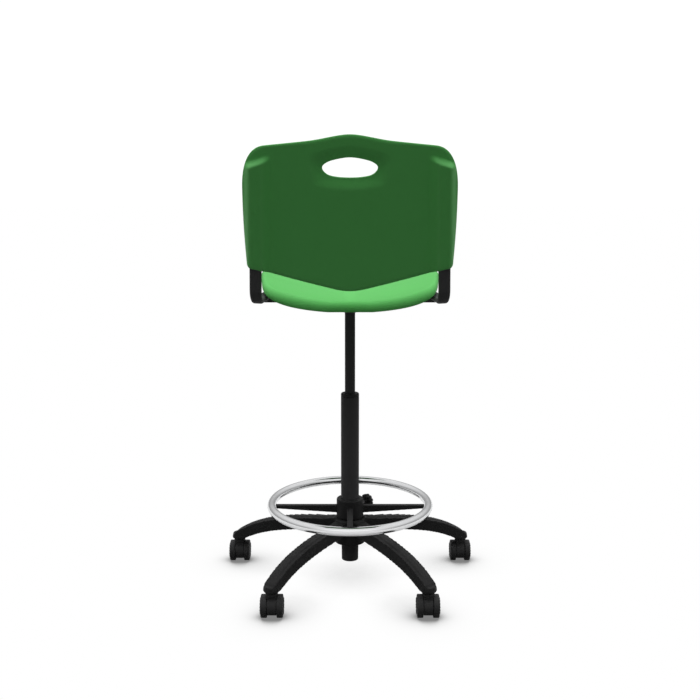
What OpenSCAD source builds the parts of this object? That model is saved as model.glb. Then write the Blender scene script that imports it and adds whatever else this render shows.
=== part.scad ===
// Draughting chair: moulded seat and back on a bent tube frame, gas lift with a foot ring,
// five-star base on twin-wheel casters.  Millimetres, +Z up.
// The origin is on the floor under the column.  The sitter faces -Y.

/* [Gas lift] */
// Outside diameter of the column's outer tube
column_d = 50; // [46:0.5:54]
// Length of the outer tube with its collar
column_l = 480; // [400:5:540]
// Height of the outer tube's lower end above the floor
column_z0 = 48; // [40:1:60]
// Diameter of the outer tube at its tapered lower end
column_tip_d = 46.4; // [44.5:0.1:46.5]
// Wall of the outer tube
column_wall = 2; // [1.5:0.25:3]
// Height of the plastic collar on top of the outer tube
collar_h = 10; // [6:1:16]
// Outside diameter of the pressure tube
tube_d = 28; // [24:0.5:32]
// Wall of the pressure tube
tube_wall = 1.5; // [1:0.25:2.5]
// Length of pressure tube showing below the seat when fully raised
lift_reach = 224; // [120:2:250]
// Diameter of the piston rod
rod_d = 10; // [8:0.5:12]
// Travel of the release button
button_travel = 2.4; // [1.5:0.1:3]

/* [Base] */
// Radius of the circle that the caster stems stand on
stem_circle_r = 340; // [300:5:370]
// Number of arms and casters
arm_count = 5; // [5:1:6]
// Diameter of the base's hub
base_hub_d = 86; // [78:1:100]
// Height of the hub's top above the floor
base_top_z = 172; // [165:1:180]
// Height of the hub
base_hub_h = 72; // [60:1:80]
// Width of an arm
arm_w = 37; // [34:1:44]
// Depth of an arm
arm_t = 37; // [34:1:44]
// Drop of an arm along its gentle slope
arm_slope = 40; // [30:1:44]
// Further drop where an arm hooks down at its tip
arm_hook = 36; // [30:1:40]
// Wall of the hollow arms
arm_wall = 5; // [3:0.5:7]
// Diameter of the stem socket at an arm's tip
socket_d = 43; // [38:1:46]

/* [Casters] */
// Diameter of a caster wheel
wheel_d = 60; // [50:1:62]
// Width of one wheel of the pair
wheel_w = 18; // [15:0.5:20]
// Width of the hood between the two wheels
hood_w = 25; // [22:0.5:28]
// Diameter of the hood's neck
neck_d = 32; // [28:1:36]
// Height from the floor to the top of the hood's neck
caster_h = 70; // [68:0.5:72]
// Distance of the axle behind the stem
trail = 4; // [2:1:20]
// Diameter of the stem
stem_d = 11; // [10:0.5:12]
// Length of stem standing out of the hood
stem_l = 18; // [14:1:20]
// Diameter of the axle
axle_d = 8; // [6:0.5:10]

/* [Foot ring] */
// Radius of the ring, to the middle of its tube
ring_r = 218.7; // [190:1:235]
// Diameter of the ring's tube
ring_tube_d = 24; // [18:1:26]
// Wall of the ring's tube
ring_wall = 2; // [1.5:0.25:3]
// Diameter of the ring's hub
ring_hub_d = 75; // [70:1:86]
// Height of the ring's hub
ring_hub_h = 53; // [46:1:64]
// Gap between the base and the hub of the ring at its lowest
ring_gap = 2; // [1:0.5:30]
// Width of a spoke
spoke_w = 15; // [12:1:20]
// Depth of a spoke at the hub
spoke_root_t = 21; // [16:1:26]
// Depth of a spoke at the ring
spoke_tip_t = 9; // [8:0.5:14]
// Diameter of the clamp knob
knob_d = 40; // [32:1:46]
// Length of the clamp knob
knob_l = 17; // [12:1:22]

/* [Frame] */
// Width of the flat oval frame tube
frame_w = 30; // [24:1:34]
// Thickness of the flat oval frame tube
frame_t = 15; // [12:0.5:18]
// Wall of the frame tube
frame_wall = 1.5; // [1.2:0.1:2.5]
// Half the distance between the two frame tubes at their bend
frame_x = 233.5; // [200:0.5:245]
// Distance from the column back to the bend's corner
frame_y = 219; // [190:1:240]
// Length of a frame tube under the seat
rail_l = 384; // [300:2:400]
// Height of the back posts above the rails
post_h = 332; // [260:2:360]
// Radius of the bend, to the middle of the tube
bend_r = 38; // [30:1:50]
// Backward lean of the posts
lean = 8; // [4:0.5:12]
// Angle by which the rails run inwards
splay = 6; // [3:0.5:8]
// Angle by which the posts tilt towards each other
tilt = 2.4; // [1:0.1:3]
// Half the distance between the two cross bars
bar_y = 80; // [70:1:90]
// Thickness of a cross bar
bar_t = 9; // [8:0.5:12]

/* [Seat] */
// Half the seat's width
seat_a = 240; // [228:1:250]
// Depth of the seat, front to back
seat_l = 465; // [420:1:490]
// Distance from the column to the seat's rear edge
seat_rear_y = 215; // [200:1:225]
// Wall of the seat
seat_wall = 4.5; // [3.5:0.25:6]
// Rise of the seat's sides above its middle
seat_dish = 46; // [36:1:52]

/* [Back] */
// Half the back's width
back_a = 259.5; // [256:0.5:270]
// Height of the back's side corners above the rails, along the lean
back_low = 85; // [76:1:94]
// Height of the back in its middle
back_h = 378; // [340:1:390]
// Depth of the point in the lower edge
back_point = 54; // [36:1:64]
// Wall of the back
back_wall = 5; // [3.5:0.25:6]
// Radius of the back's curve across its width
back_curve_r = 1200; // [900:10:2000]
// Width of the hand hole
hole_w = 139; // [110:1:150]
// Height of the hand hole
hole_h = 48; // [40:1:52]
// Distance from the upper edge to the middle of the hand hole
hole_drop = 77.5; // [70:0.5:90]

/* [Hidden] */
running_gap = 0.05;
assembly_gap = 0.3;
body_gap = 1;
eps = 0.01;

CASTERS = [1, 2, 3, 4, 5];

// Heights, from the floor upwards
column_top = column_z0 + column_l;
column_r = column_d / 2;
column_bore_r = column_r - column_wall;
socket_z0 = column_top + lift_reach;
socket_l = 35;
tube_top = socket_z0 + socket_l;
bearing_z0 = column_z0 + 5;
ring_hub_z0 = base_top_z + ring_gap;
spoke_top_z = ring_hub_z0 + 33;
ring_z = spoke_top_z + 3;

// Gas lift
tube_r = tube_d / 2;
tube_bore_r = tube_r - tube_wall;
rod_r = rod_d / 2;
rod_play = 0.5;
rod_foot = 0.5;
bush_l = 80;
tube_overlap = 98;
tube_z0 = column_top - collar_h - tube_overlap;
seal_l = 16;
piston_l = 12;
piston_z0 = tube_z0 + seal_l + 4;
tube_cap_t = 3;
button_r = 4;
button_stop = 3.1;
button_out = button_travel + button_stop;
button_in = 10;

// Thrust bearing at the column's foot
race_r = 11;
race_t = 1.5;
ball_r = 2.25;
ball_count = 8;
race_z = bearing_z0 + race_t + 2 * ball_r;
shoulder_r = 8;
shoulder_l = 4;
clip_w = 3;
clip_t = 1.2;
bumper_r = 11;
bumper_l = 22;

// Mechanism under the seat
socket_r = tube_r + 5;
housing_x = 48;
housing_y = 32;
housing_wall = 2.5;
housing_z0 = socket_z0 + 8;
housing_z1 = tube_top + 10;
plate_x = 95;
plate_y = 100;
plate_t = 3;
plate_z1 = tube_top + 3;
plate_bolt_x = 72;
bolt_r = 3;
bolt_head_r = 5.8;
bolt_head_t = 5;
pivot_x = -30;
pivot_z = tube_top + 2;
pivot_r = 3;
lever_hub_r = 6;
lever_rod_r = 4;
lever_reach = 189;
lever_turn = 14;
lever_drop = 10.5;
slot_y0 = -28;
slot_y1 = 8;
slot_drop = 9;
tongue_w = 14;
tongue_t = 4;
tongue_z = tube_top + button_out + 0.6;

// Frame
bar_z0 = plate_z1;
bar_z1 = bar_z0 + bar_t;
rail_z = bar_z1 + frame_t / 2;
bar_w = 30;
seat_screw_x = 150;
screw_r = 2.2;
screw_head_r = 5;
screw_head_t = 3.5;
screw_grip = 8;
boss_r = 9;

// Seat: its middle clears the cross bars, and its sides clear the rails
seat_b = seat_l / 2;
seat_mid_y = seat_rear_y - seat_b;
seat_sink = 8;
seat_mid_z = bar_z1 + max(seat_wall + 2.5, frame_t - seat_sink);
seat_taper = 23;
seat_bow = 10;
seat_front_drop = 7;
seat_rear_drop = 3;
skirt_side = 13;
skirt_end = 12;
seat_square_front = 5;
seat_square_rear = 7;
seat_dish_power = 2.1;
seat_steps = 72;
rim_roll = 7;

// Back
sleeve_wall = 3;
sleeve_w = frame_w + 10;
sleeve_t = frame_t + 2 * sleeve_wall;

// ---------- small shared shapes ----------

// Closed outline of a flat oval, w wide and t thick
function flat_oval(w, t, n = 8) = concat(
    [for (i = [0:n]) let (a = -90 + 180 * i / n) [w / 2 - t / 2 + t / 2 * cos(a), t / 2 * sin(a)]],
    [for (i = [0:n]) let (a = 90 + 180 * i / n) [t / 2 - w / 2 + t / 2 * cos(a), t / 2 * sin(a)]]
);

module ring_of(r_out, r_in, h) {
    difference() {
        cylinder(h = h, r = r_out, $fn = 96);
        translate([0, 0, -1])
            cylinder(h = h + 2, r = r_in, $fn = 96);
    }
}

module on_arm(i) {
    rotate([0, 0, -90 + i * 360 / arm_count])
        translate([stem_circle_r, 0, 0])
            children();
}

// ---------- base ----------

arm_step = 4;
arm_tip_drop = 14;
rib_t = 3;
stem_headroom = 2;
socket_h = 16;
socket_top_d = 38;
arm_r0 = base_hub_d / 2 - 3;
arm_r1 = stem_circle_r + 7;

// Height of an arm's upper edge at radius r
function arm_top(r) = let (t = max(0, (r - arm_r0) / (arm_r1 - arm_r0)))
    base_top_z - arm_step - arm_slope * pow(t, 1.5) - arm_hook * pow(t, 5);

ARM_STEPS = 14;
function arm_r(i) = arm_r0 + (arm_r1 - arm_r0) * i / ARM_STEPS;
arm_end_r = stem_circle_r + 14;
arm_heel_r = stem_circle_r - 14;
arm_foot_z = caster_h + body_gap;

// Side view of an arm: upper edge, tip, lower edge
arm_side = concat(
    [for (i = [0:ARM_STEPS]) [arm_r(i), arm_top(arm_r(i))]],
    [[arm_end_r, arm_top(arm_r1) - arm_tip_drop], [arm_end_r, arm_foot_z], [arm_heel_r, arm_foot_z]],
    [for (i = [ARM_STEPS - 2:-1:0]) [arm_r(i), arm_top(arm_r(i)) - arm_t]]
);

module arm_body() {
    rotate([90, 0, 0])
        translate([0, 0, -arm_w / 2])
            linear_extrude(height = arm_w)
                polygon(arm_side);
}

// Hollow under an arm, open below, crossed by ribs
module arm_hollow() {
    hollow_w = arm_w - 2 * arm_wall;
    hollow_r0 = base_hub_d / 2 + 2;
    hollow_r1 = stem_circle_r - socket_d / 2 - 4;
    rib_count = 5;
    bay = (hollow_r1 - hollow_r0) / rib_count;
    below = arm_t + 20;
    for (k = [0:rib_count - 1]) {
        r0 = hollow_r0 + k * bay + rib_t / 2;
        r1 = hollow_r0 + (k + 1) * bay - rib_t / 2;
        rotate([90, 0, 0])
            translate([0, 0, -hollow_w / 2])
                linear_extrude(height = hollow_w)
                    polygon([
                        [r0, arm_top(r0) - arm_wall],
                        [r1, arm_top(r1) - arm_wall],
                        [r1, arm_top(r1) - below],
                        [r0, arm_top(r0) - below]
                    ]);
    }
}

module star_base() {
    hub_z0 = base_top_z - base_hub_h;
    taper = (column_d - column_tip_d) / 2 / (base_top_z - column_z0);
    bore_top_r = column_r + running_gap;
    bore_foot_r = bore_top_r - taper * base_hub_h;
    color("#1c1c1e")
        difference() {
            union() {
                translate([0, 0, hub_z0])
                    cylinder(h = base_hub_h, r = base_hub_d / 2, $fn = 96);
                for (i = [0:arm_count - 1])
                    rotate([0, 0, -90 + i * 360 / arm_count]) {
                        difference() {
                            arm_body();
                            arm_hollow();
                        }
                        translate([stem_circle_r, 0, arm_foot_z])
                            cylinder(h = socket_h, r1 = socket_d / 2, r2 = socket_top_d / 2, $fn = 64);
                    }
            }
            translate([0, 0, hub_z0])
                cylinder(h = base_hub_h, r1 = bore_foot_r, r2 = bore_top_r, $fn = 96);
            translate([0, 0, hub_z0 - 1])
                cylinder(h = 1 + eps, r = bore_foot_r, $fn = 96);
            translate([0, 0, base_top_z - eps])
                cylinder(h = 1, r = bore_top_r, $fn = 96);
            for (i = [0:arm_count - 1])
                on_arm(i)
                    translate([0, 0, arm_foot_z - body_gap])
                        cylinder(h = stem_l + stem_headroom, r = stem_d / 2 + running_gap, $fn = 48);
        }
}

// ---------- gas lift ----------

module column_tube() {
    wall_top = column_top - collar_h;
    narrow_top = column_z0 + 150;
    recess_t = 2;
    recess_r = 12;
    color("#1c1c1e")
        difference() {
            union() {
                translate([0, 0, column_z0])
                    cylinder(h = base_top_z - column_z0, r1 = column_tip_d / 2, r2 = column_r, $fn = 96);
                translate([0, 0, base_top_z])
                    cylinder(h = wall_top - base_top_z, r = column_r, $fn = 96);
            }
            translate([0, 0, bearing_z0])
                cylinder(h = narrow_top - bearing_z0 + eps, r = column_tip_d / 2 - column_wall, $fn = 96);
            translate([0, 0, narrow_top])
                cylinder(h = column_l, r = column_bore_r, $fn = 96);
            translate([0, 0, column_z0 - 1])
                cylinder(h = recess_t + 1, r = recess_r, $fn = 64);
            translate([0, 0, column_z0])
                cylinder(h = bearing_z0 - column_z0 + 1, r = rod_r + rod_play, $fn = 64);
        }
}

module guide_bush() {
    collar_z0 = column_top - collar_h;
    lip = 2;
    color("#232325")
        rotate_extrude($fn = 96)
            polygon([
                [tube_r + running_gap, collar_z0 - bush_l],
                [column_bore_r - running_gap, collar_z0 - bush_l],
                [column_bore_r - running_gap, collar_z0],
                [column_r, collar_z0],
                [column_r, column_top - lip],
                [column_r - lip, column_top],
                [tube_r + running_gap, column_top]
            ]);
}

module bearing_seat() {
    color("silver")
        translate([0, 0, bearing_z0])
            ring_of(race_r, rod_r + rod_play, race_t);
}

module bearing_race() {
    color("silver")
        translate([0, 0, race_z])
            ring_of(race_r, rod_r, race_t);
}

module bearing_balls() {
    color("lightgray")
        for (k = [0:ball_count - 1])
            rotate([0, 0, k * 360 / ball_count])
                translate([(rod_r + race_r) / 2, 0, bearing_z0 + race_t + ball_r])
                    sphere(r = ball_r - running_gap, $fn = 24);
}

module piston_rod() {
    shoulder_z = race_z + race_t;
    color("silver")
        union() {
            translate([0, 0, column_z0 + rod_foot])
                cylinder(h = piston_z0 + piston_l + 2 - column_z0, r = rod_r, $fn = 48);
            translate([0, 0, shoulder_z])
                cylinder(h = shoulder_l, r = shoulder_r, $fn = 48);
        }
}

module rod_clip() {
    color("gray")
        translate([0, 0, column_z0 + rod_foot])
            ring_of(rod_r + clip_w, rod_r, clip_t);
}

module rod_bumper() {
    color("#202020")
        translate([0, 0, race_z + race_t + shoulder_l])
            ring_of(bumper_r, rod_r, bumper_l);
}

module piston() {
    color("gray")
        translate([0, 0, piston_z0])
            ring_of(tube_bore_r - running_gap, rod_r, piston_l);
}

module pressure_tube() {
    color("#1c1c1e")
        difference() {
            translate([0, 0, tube_z0])
                cylinder(h = tube_top - tube_z0, r = tube_r, $fn = 96);
            translate([0, 0, tube_z0 - 1])
                cylinder(h = tube_top - tube_cap_t - tube_z0 + 1, r = tube_bore_r, $fn = 96);
            translate([0, 0, tube_top - tube_cap_t - 1])
                cylinder(h = tube_cap_t + 2, r = button_r + running_gap, $fn = 48);
        }
}

module rod_seal() {
    color("#202020")
        translate([0, 0, tube_z0])
            ring_of(tube_bore_r, rod_r + running_gap, seal_l);
}

module release_button() {
    color("silver")
        translate([0, 0, tube_top - button_in])
            cylinder(h = button_in + button_out, r = button_r, $fn = 48);
}

// ---------- mechanism ----------

module taper_socket() {
    color("#1c1c1e")
        translate([0, 0, socket_z0])
            ring_of(socket_r, tube_r, socket_l);
}

module mechanism_housing() {
    color("#1c1c1e")
        difference() {
            translate([-housing_x, -housing_y, housing_z0])
                cube([2 * housing_x, 2 * housing_y, housing_z1 - housing_z0]);
            translate([housing_wall - housing_x, housing_wall - housing_y, housing_z0 + housing_wall])
                cube([2 * (housing_x - housing_wall), 2 * (housing_y - housing_wall), housing_z1]);
            translate([0, 0, housing_z0 - 1])
                cylinder(h = housing_wall + 2, r = socket_r, $fn = 96);
            translate([pivot_x, housing_y + 1, pivot_z])
                rotate([90, 0, 0])
                    cylinder(h = 2 * housing_y + 2, r = pivot_r, $fn = 48);
            translate([-housing_x - 1, slot_y0, pivot_z - slot_drop])
                cube([housing_wall + 2, slot_y1 - slot_y0, housing_z1]);
        }
}

module mechanism_plate() {
    color("#1c1c1e")
        difference() {
            translate([-plate_x, -plate_y, plate_z1 - plate_t])
                cube([2 * plate_x, 2 * plate_y, plate_t]);
            translate([-housing_x, -housing_y, plate_z1 - plate_t - 1])
                cube([2 * housing_x, 2 * housing_y, plate_t + 2]);
            // room for the lever, which leaves the housing on this side
            translate([-plate_x - 1, slot_y0, plate_z1 - plate_t - 1])
                cube([plate_x - housing_x + 2, slot_y1 - slot_y0, plate_t + 2]);
            at_plate_bolts()
                translate([0, 0, plate_z1 - plate_t - 1])
                    cylinder(h = plate_t + 2, r = bolt_r + assembly_gap, $fn = 48);
        }
}

module at_plate_bolts() {
    for (sx = [-1, 1])
        for (sy = [-1, 1])
            translate([sx * plate_bolt_x, sy * bar_y, 0])
                children();
}

module mechanism_bolts() {
    color("dimgray")
        at_plate_bolts()
            union() {
                translate([0, 0, plate_z1 - plate_t - bolt_head_t])
                    cylinder(h = bolt_head_t, r = bolt_head_r, $fn = 6);
                translate([0, 0, plate_z1 - plate_t - eps])
                    cylinder(h = plate_t + bar_t - 2, r = bolt_r, $fn = 48);
            }
}

module lever_pivot_pin() {
    color("silver")
        translate([pivot_x, housing_y - 0.5, pivot_z])
            rotate([90, 0, 0])
                cylinder(h = 2 * housing_y - 1, r = pivot_r, $fn = 48);
}

// Frame of the lever's rod: origin on the pivot, Z along the rod
module along_lever() {
    translate([pivot_x, 0, pivot_z])
        rotate([0, 0, lever_turn])
            rotate([0, -90 - asin(lever_drop / lever_reach), 0])
                children();
}

module release_lever() {
    color("#1c1c1e")
        difference() {
            union() {
                translate([pivot_x, tongue_w / 2, pivot_z])
                    rotate([90, 0, 0])
                        cylinder(h = tongue_w, r = lever_hub_r, $fn = 64);
                translate([pivot_x, -tongue_w / 2, tongue_z])
                    cube([3 - pivot_x, tongue_w, tongue_t]);
                translate([pivot_x - 2, -tongue_w / 2, pivot_z])
                    cube([7, tongue_w, tongue_z - pivot_z + tongue_t]);
                along_lever()
                    cylinder(h = lever_reach - grip_cover, r = lever_rod_r, $fn = 48);
            }
            translate([pivot_x, tongue_w, pivot_z])
                rotate([90, 0, 0])
                    cylinder(h = 2 * tongue_w, r = pivot_r + running_gap, $fn = 48);
        }
}

grip_l = 62;
grip_w = 26;
grip_t = 9.6;
grip_cover = 30;

module lever_grip() {
    color("#202022")
        along_lever()
            difference() {
                translate([0, 0, lever_reach - grip_l])
                    linear_extrude(height = grip_l)
                        polygon([for (p = flat_oval(grip_w, grip_t)) [p[1], p[0]]]);
                translate([0, 0, lever_reach - grip_l - 1])
                    cylinder(h = grip_l - grip_cover + 1, r = lever_rod_r, $fn = 48);
            }
}

// ---------- frame ----------

function rail_x(y) = frame_x - (frame_y - y) * tan(splay);

module cross_bar(y) {
    half = rail_x(y) + 4;
    color("#1c1c1e")
        difference() {
            translate([-half, y - bar_w / 2, bar_z0])
                cube([2 * half, bar_w, bar_t]);
            translate([-half - 1, y - bar_w / 2 + frame_wall, bar_z0 + frame_wall])
                cube([2 * half + 2, bar_w - 2 * frame_wall, bar_t - 2 * frame_wall]);
            for (sx = [-1, 1]) {
                translate([sx * seat_screw_x, y, bar_z0 - 1])
                    cylinder(h = bar_t + 2, r = screw_r + 2 * assembly_gap, $fn = 48);
                translate([sx * plate_bolt_x, y, bar_z0 - 1])
                    cylinder(h = frame_wall + 2, r = bolt_r, $fn = 48);
            }
        }
}

module front_cross_bar() {
    cross_bar(-bar_y);
}

module rear_cross_bar() {
    cross_bar(bar_y);
}

turn = 90 - lean;
bend_run = bend_r * tan(turn / 2);

// A bent tube is a row of cross-sections: the rail's end, the bend, the post's top
BEND_STEPS = 18;
BEND_ROWS = BEND_STEPS + 2;

// Point of cross-section k, p[0] across the bend's plane and p[1] outwards from the bend
function tube_point(k, p) = let (a = turn * (k - 1) / BEND_STEPS)
    k == 0 ? [p[0], -rail_l, -p[1]]
    : k > BEND_STEPS + 1 ? [
        p[0],
        post_h * sin(lean) + p[1] * cos(lean),
        post_h * cos(lean) - p[1] * sin(lean)
    ]
    : [p[0], (bend_r + p[1]) * sin(a) - bend_run, bend_r - (bend_r + p[1]) * cos(a)];

// One bent tube with its corner at the origin: rail along -Y, post up and back
module bent_tube() {
    outer = flat_oval(frame_w, frame_t);
    inner = flat_oval(frame_w - 2 * frame_wall, frame_t - 2 * frame_wall);
    sides = len(outer);
    rows = 2 * (BEND_ROWS + 1);
    polyhedron(
        points = concat(
            [for (k = [0:BEND_ROWS]) for (p = outer) tube_point(k, p)],
            [for (k = [BEND_ROWS:-1:0]) for (p = inner) tube_point(k, p)]
        ),
        faces = [
            for (k = [0:rows - 1])
                for (j = [0:sides - 1])
                    let (near = k * sides, far = (k + 1) % rows * sides, next = (j + 1) % sides)
                        [near + j, far + j, far + next, near + next]
        ]
    );
}

// Frame of one tube: origin at the bend's corner, its own plane tilted inwards
module placed(side) {
    mirror([side < 0 ? 1 : 0, 0, 0])
        translate([frame_x, frame_y, rail_z])
            rotate([0, 0, -splay])
                rotate([0, -tilt, 0])
                    children();
}

// Frame of one post: origin at the bend's corner, Z up the post, Y to the rear
module on_post(side) {
    placed(side)
        rotate([-lean, 0, 0])
            children();
}

module frame_tube(side) {
    color("#1c1c1e")
        placed(side)
            bent_tube();
}

module left_frame_tube() {
    frame_tube(1);
}

module right_frame_tube() {
    frame_tube(-1);
}

cap_t = 3;
cap_plug_l = 9;

module frame_end_caps() {
    bore = 2 * (frame_wall + running_gap);
    color("#202022")
        for (side = [-1, 1])
            placed(side)
                translate([0, -rail_l, 0])
                    rotate([90, 0, 0]) {
                        linear_extrude(height = cap_t)
                            polygon(flat_oval(frame_w, frame_t));
                        translate([0, 0, -cap_plug_l])
                            linear_extrude(height = cap_plug_l + cap_t / 2)
                                polygon(flat_oval(frame_w - bore, frame_t - bore));
                    }
}

// ---------- seat ----------

function signed_pow(v, p) = sign(v) * pow(abs(v), p);
function seat_edge(a) = let (n = sin(a) > 0 ? seat_square_rear : seat_square_front)
    [signed_pow(cos(a), 2 / n), signed_pow(sin(a), 2 / n)];
// Point of the seat's plan at share s of the way out, in direction a
function seat_xy(a, s) = let (e = seat_edge(a) * s)
    [(seat_a - seat_taper * e[1]) * e[0],
     seat_mid_y + seat_b * e[1] - seat_bow * max(0, e[1]) * e[0] * e[0]];
function seat_top(p) =
    seat_mid_z
    + seat_dish * pow(min(1, abs(p[0]) / seat_a), seat_dish_power)
    - seat_rear_drop * pow(max(0, (p[1] - seat_mid_y) / seat_b), 2)
    - seat_front_drop * pow(max(0, (seat_mid_y - p[1]) / seat_b), 4)
        * (1 - pow(min(1, abs(p[0]) / seat_a), 2));
// Depth of the rim below the top surface: shallow over the rails, deeper in front and behind
function seat_skirt(a) = skirt_side + skirt_end * pow(abs(seat_edge(a)[1]), 4);

function seat_ring(k, a) = let (
        inner = 1 - seat_wall / seat_b,
        rolled = 1 - rim_roll / seat_b,
        upper = [0.3, 0.55, 0.75, 0.88, rolled, 1 - 2 / seat_b, 1],
        lower = [1, inner, inner, rolled - 0.01, 0.87, 0.74, 0.54, 0.29],
        shares = concat(upper, lower),
        p = seat_xy(a, shares[k]),
        z = seat_top(seat_xy(a, min(shares[k], rolled)))
    )
    k < 5 ? [p[0], p[1], z]
    : k == 5 ? [p[0], p[1], z - 1.5]
    : k == 6 ? [p[0], p[1], z - rim_roll]
    : k == 7 || k == 8 ? [p[0], p[1], z - seat_skirt(a)]
    : k == 9 ? [p[0], p[1], z - rim_roll - 1]
    : [p[0], p[1], z - seat_wall];

SEAT_RINGS = 15;

module seat_skin() {
    n = seat_steps;
    top = [0, seat_mid_y, seat_top([0, seat_mid_y])];
    points = concat(
        [for (k = [0:SEAT_RINGS - 1]) for (j = [0:n - 1]) seat_ring(k, 360 * (j + 0.5) / n)],
        [top, top - [0, 0, seat_wall]]
    );
    crown = SEAT_RINGS * n;
    faces = concat(
        [for (j = [0:n - 1]) [crown, (j + 1) % n, j]],
        [for (k = [0:SEAT_RINGS - 2]) for (j = [0:n - 1])
            [k * n + j, k * n + (j + 1) % n, (k + 1) * n + (j + 1) % n]],
        [for (k = [0:SEAT_RINGS - 2]) for (j = [0:n - 1])
            [k * n + j, (k + 1) * n + (j + 1) % n, (k + 1) * n + j]],
        [for (j = [0:n - 1])
            [crown + 1, (SEAT_RINGS - 1) * n + j, (SEAT_RINGS - 1) * n + (j + 1) % n]]
    );
    polyhedron(points = points, faces = faces, convexity = 6);
}

module at_seat_screws() {
    for (sx = [-1, 1])
        for (sy = [-1, 1])
            translate([sx * seat_screw_x, sy * bar_y, 0])
                children();
}

module seat_shell() {
    boss_top = seat_top([seat_screw_x, bar_y]) - seat_wall / 2;
    color("#6cd070")
        difference() {
            union() {
                seat_skin();
                at_seat_screws()
                    translate([0, 0, bar_z1])
                        cylinder(h = boss_top - bar_z1, r = boss_r, $fn = 48);
            }
            at_seat_screws()
                translate([0, 0, bar_z1 - 1])
                    cylinder(h = screw_grip + 1, r = screw_r, $fn = 48);
        }
}

module seat_screws() {
    color("dimgray")
        at_seat_screws()
            union() {
                translate([0, 0, bar_z0 - screw_head_t])
                    cylinder(h = screw_head_t, r = screw_head_r, $fn = 48);
                translate([0, 0, bar_z0 - eps])
                    cylinder(h = bar_t + screw_grip, r = screw_r, $fn = 48);
            }
}

// ---------- back ----------

// Frame of the back: origin level with the rails, Z up the lean, Y to the rear
module along_back() {
    translate([0, frame_y, rail_z])
        rotate([-lean, 0, 0])
            children();
}

back_top = back_low - back_point + back_h;
corner_w = 60;
corner_h = 105;
corner_square = 2.5;
edge_slope = 0.112;
edge_hump = 6.5;
edge_round = 19;
hump_w = 107;
foot_corner = 12;
foot_in = 6;
point_w = 36;

// Height of the upper edge: two slopes that meet in a rounded hump
function back_edge(x) = back_top
    - edge_slope * (sqrt(x * x + edge_round * edge_round) - edge_round)
    - edge_hump * (0.5 - 0.5 * cos(180 * min(1, x / hump_w)));

// Slope of the lower edge from its point out to the side corners
foot_slope = back_point / (back_a - foot_corner - point_w / 2);

// Half of the back's outline, from the middle of the upper edge round to the lower point
function back_half() = let (
        x1 = back_a - corner_w
    )
    concat(
        [for (i = [0:9]) let (x = x1 * i / 10) [x, back_edge(x)]],
        [for (i = [0:9]) let (a = 90 - 10 * i, x = x1 + corner_w * signed_pow(cos(a), 2 / corner_square))
            [x, back_edge(x) - corner_h * (1 - signed_pow(sin(a), 2 / corner_square))]],
        [[back_a, back_low + 120], [back_a - foot_in, back_low + foot_corner + 4]],
        [for (i = [1:4]) let (a = -22.5 * i)
            [back_a - foot_in - foot_corner * (1 - cos(a)), back_low + foot_corner * (1 + sin(a))]],
        [for (i = [0:5]) let (x = point_w * (1 - i / 5))
            [x, back_low - back_point + foot_slope * x * x / 2 / point_w]]
    );

module back_outline() {
    half = back_half();
    n = len(half);
    polygon(concat(half, [for (i = [n - 2:-1:1]) [-half[i][0], half[i][1]]]));
}

// Half of the hand hole's outline, from the middle of its upper edge to the middle of its lower
hole_half = [
    [0, hole_h * 0.5],
    [hole_w * 0.39, hole_h * 0.27],
    [hole_w * 0.5, 0],
    [hole_w * 0.4, -hole_h * 0.36],
    [hole_w * 0.22, -hole_h * 0.47],
    [0, -hole_h * 0.5]
];

module hand_hole_outline() {
    polygon(concat(hole_half, [for (i = [4:-1:1]) [-hole_half[i][0], hole_half[i][1]]]));
}

function sagitta(x) = back_curve_r - sqrt(back_curve_r * back_curve_r - x * x);

// Curved sheet between two upright cylinders whose axis is in front of the chair
module back_sheet() {
    sheet_y = sagitta(frame_x) - frame_t / 2 - assembly_gap;
    intersection() {
        translate([0, sheet_y - back_curve_r, -50])
            difference() {
                cylinder(h = back_top + 100, r = back_curve_r, $fn = 360);
                translate([0, 0, -1])
                    cylinder(h = back_top + 102, r = back_curve_r - back_wall, $fn = 360);
            }
        translate([0, 100, 0])
            rotate([90, 0, 0])
                linear_extrude(height = 250)
                    back_outline();
    }
}

// One sleeve, its top cut off on a slope that falls outwards
module back_sleeve() {
    sleeve_top = post_h + 21;
    sleeve_foot = back_low + 5;
    sleeve_slope = 18;
    difference() {
        translate([0, 0, sleeve_foot])
            linear_extrude(height = sleeve_top - sleeve_foot)
                polygon(flat_oval(sleeve_w, sleeve_t));
        translate([-sleeve_w / 2, -50, sleeve_top])
            rotate([0, sleeve_slope, 0])
                cube([100, 100, 60]);
    }
}

module back_shell() {
    color("#2a5a2e")
        difference() {
            union() {
                along_back()
                    difference() {
                        back_sheet();
                        translate([0, 100, back_top - hole_drop])
                            rotate([90, 0, 0])
                                linear_extrude(height = 250)
                                    hand_hole_outline();
                    }
                for (side = [-1, 1])
                    on_post(side)
                        back_sleeve();
            }
            for (side = [-1, 1])
                on_post(side)
                    translate([0, 0, -50])
                        linear_extrude(height = post_h + 50 + assembly_gap)
                            polygon(flat_oval(frame_w + 2 * assembly_gap, frame_t + 2 * assembly_gap));
        }
}

// Screws through the sleeves into the posts, their heads under caps of the back's plastic
module back_screws() {
    cap_proud = 0.8;
    screw_up = 140;
    color("#2a5a2e")
        for (side = [-1, 1])
            on_post(side)
                translate([0, sleeve_t / 2 + cap_proud, back_low + screw_up])
                    rotate([90, 0, 0])
                        cylinder(h = 8, r = 4, $fn = 48);
}

// ---------- foot ring ----------

knob_turn = 225;
knob_face = ring_hub_d / 2 + 22;
stud_r = 4;
stud_z = ring_hub_z0 + 28;
bush_wall = 2;
ring_bush_r = column_r + running_gap + bush_wall;

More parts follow.
